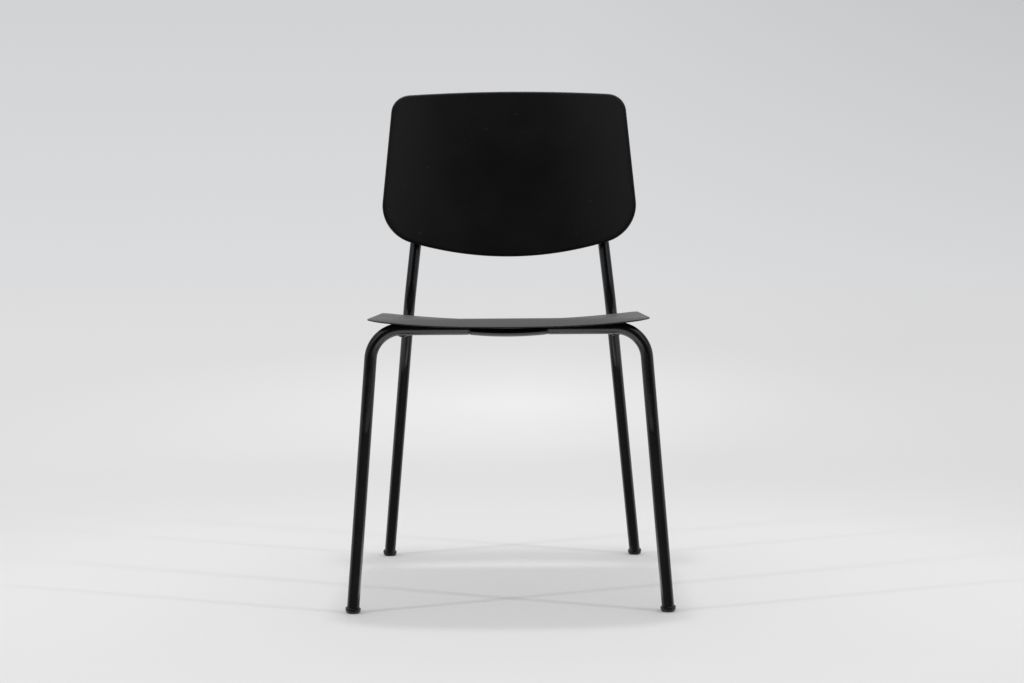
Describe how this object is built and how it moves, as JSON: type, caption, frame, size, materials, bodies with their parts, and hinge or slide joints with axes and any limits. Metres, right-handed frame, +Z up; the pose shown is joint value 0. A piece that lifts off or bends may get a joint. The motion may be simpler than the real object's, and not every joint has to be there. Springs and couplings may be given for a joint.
{
  "type": "chair",
  "caption": "Armless stacking choir chair: a thin dished seat shell and a wide curved back shell on a slim bent tube frame with splayed legs and plastic glides.",
  "frame": {"origin": "on the floor, under the middle of the chair's bounding box", "axes": "+X to the chair's right as the viewer in front of it sees it, +Y to the back, +Z up; left is the side at -X"},
  "size_m": [0.5054, 0.5691, 0.8152],
  "materials": {
    "frame_paint": "satin black powder coat",
    "seat_plastic": "fine matte grain",
    "back_plastic": "fine matte grain",
    "insert_brass": "turned",
    "screw_steel": "dark zinc",
    "trim_plastic": "smooth matte",
    "glide_plastic": "moulded, half gloss"
  },
  "bodies": {
    "root": {"front_leg_frame": "frame_paint", "rear_leg_left": "frame_paint", "rear_leg_right": "frame_paint", "side_rail_left": "frame_paint", "side_rail_right": "frame_paint", "rear_crossbar": "frame_paint", "seat_bracket_front_left": "frame_paint", "seat_bracket_front_right": "frame_paint", "seat_bracket_rear_left": "frame_paint", "seat_bracket_rear_right": "frame_paint", "seat_shell": "seat_plastic", "back_shell": "back_plastic", "seat_insert_front_left": "insert_brass", "seat_screw_front_left": "screw_steel", "seat_insert_front_right": "insert_brass", "seat_screw_front_right": "screw_steel", "seat_insert_rear_left": "insert_brass", "seat_screw_rear_left": "screw_steel", "seat_insert_rear_right": "insert_brass", "seat_screw_rear_right": "screw_steel", "back_insert_lower_left": "insert_brass", "back_screw_lower_left": "screw_steel", "back_insert_lower_right": "insert_brass", "back_screw_lower_right": "screw_steel", "back_insert_upper_left": "insert_brass", "back_screw_upper_left": "screw_steel", "back_insert_upper_right": "insert_brass", "back_screw_upper_right": "screw_steel", "upright_plug_left": "trim_plastic", "upright_plug_right": "trim_plastic", "stacking_buffer_front_left": "trim_plastic", "glide_front_left": "glide_plastic", "stacking_buffer_front_right": "trim_plastic", "glide_front_right": "glide_plastic", "stacking_buffer_rear_left": "trim_plastic", "glide_rear_left": "glide_plastic", "stacking_buffer_rear_right": "trim_plastic", "glide_rear_right": "glide_plastic"}
  },
  "joints": []
}
